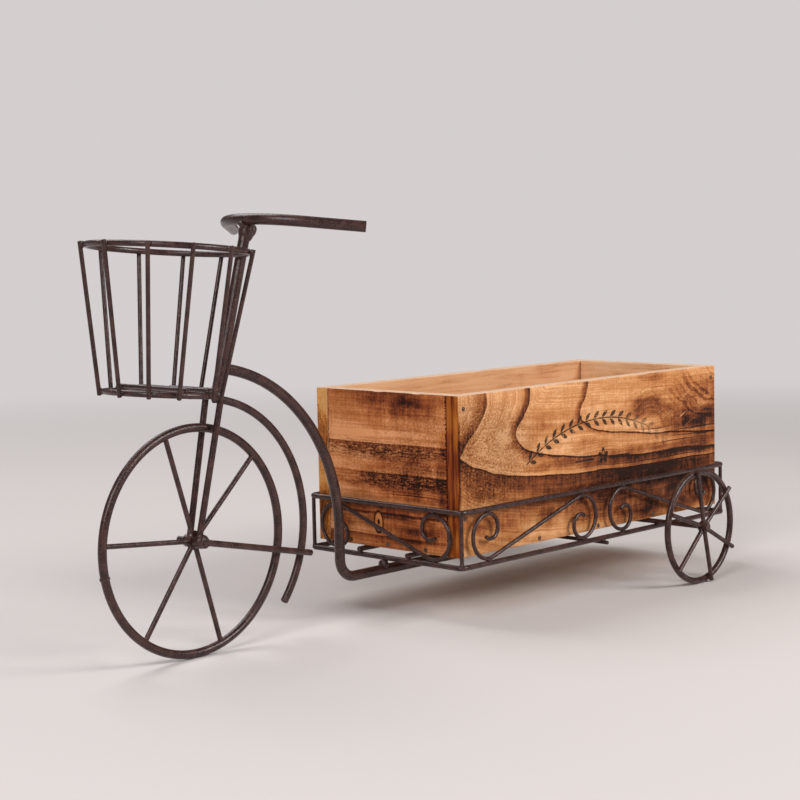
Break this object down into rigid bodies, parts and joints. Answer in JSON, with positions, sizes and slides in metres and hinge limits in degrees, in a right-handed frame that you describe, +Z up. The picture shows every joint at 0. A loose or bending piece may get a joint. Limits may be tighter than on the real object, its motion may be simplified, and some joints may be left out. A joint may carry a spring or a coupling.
{
  "type": "tricycle planter",
  "caption": "Ornamental welded rod tricycle with a wire front basket and a scrollwork cart that carries a loose scorched wooden plant box.",
  "frame": {"origin": "on the ground under the middle of the whole tricycle", "axes": "+X runs from the front wheel back to the cart, +Y to the right hand side of a rider who faces forwards, +Z up"},
  "size_m": [0.6, 0.2588, 0.3003],
  "materials": {
    "painted_steel": "satin dark brown paint",
    "scorched_wood": "flame scorched, clear oiled",
    "nail_steel": "dull"
  },
  "bodies": {
    "frame": {"stem": "painted_steel", "handlebar": "painted_steel", "fork": "painted_steel", "front_axle": "painted_steel", "mudguard": "painted_steel", "mudguard_stay": "painted_steel", "main_tube": "painted_steel", "basket_rim": "painted_steel", "basket_base_ring": "painted_steel", "basket_staves": "painted_steel", "basket_floor_rods": "painted_steel", "upper_rail": "painted_steel", "lower_rail": "painted_steel", "corner_posts": "painted_steel", "middle_cross_bar": "painted_steel", "bed_bars": "painted_steel", "rear_axle": "painted_steel", "left_side_scrolls": "painted_steel", "right_side_scrolls": "painted_steel", "front_scroll": "painted_steel", "rear_scroll": "painted_steel", "axle_caps": "painted_steel"},
    "front_wheel": {"front_wheel_ring": "painted_steel", "front_wheel_spokes": "painted_steel", "front_wheel_hub": "painted_steel"},
    "left_wheel": {"left_wheel_ring": "painted_steel", "left_wheel_spokes": "painted_steel", "left_wheel_hub": "painted_steel"},
    "right_wheel": {"right_wheel_ring": "painted_steel", "right_wheel_spokes": "painted_steel", "right_wheel_hub": "painted_steel"},
    "planter_box": {"left_board": "scorched_wood", "right_board": "scorched_wood", "front_board": "scorched_wood", "rear_board": "scorched_wood", "bottom_board": "scorched_wood", "nails": "nail_steel"}
  },
  "joints": [
    {"name": "front_wheel_spin", "type": "hinge", "parent": "frame", "child": "front_wheel", "pos_m": [-0.22, 0, 0.08], "axis": [0, 1, 0], "continuous": true},
    {"name": "left_wheel_spin", "type": "hinge", "parent": "frame", "child": "left_wheel", "pos_m": [0.201, -0.12527, 0.046], "axis": [0, 1, 0], "continuous": true},
    {"name": "right_wheel_spin", "type": "hinge", "parent": "frame", "child": "right_wheel", "pos_m": [0.201, 0.12527, 0.046], "axis": [0, 1, 0], "continuous": true},
    {"name": "box_lift", "type": "slide", "parent": "frame", "child": "planter_box", "axis": [0, 0, 1], "range_m": [0, 0.15]}
  ]
}
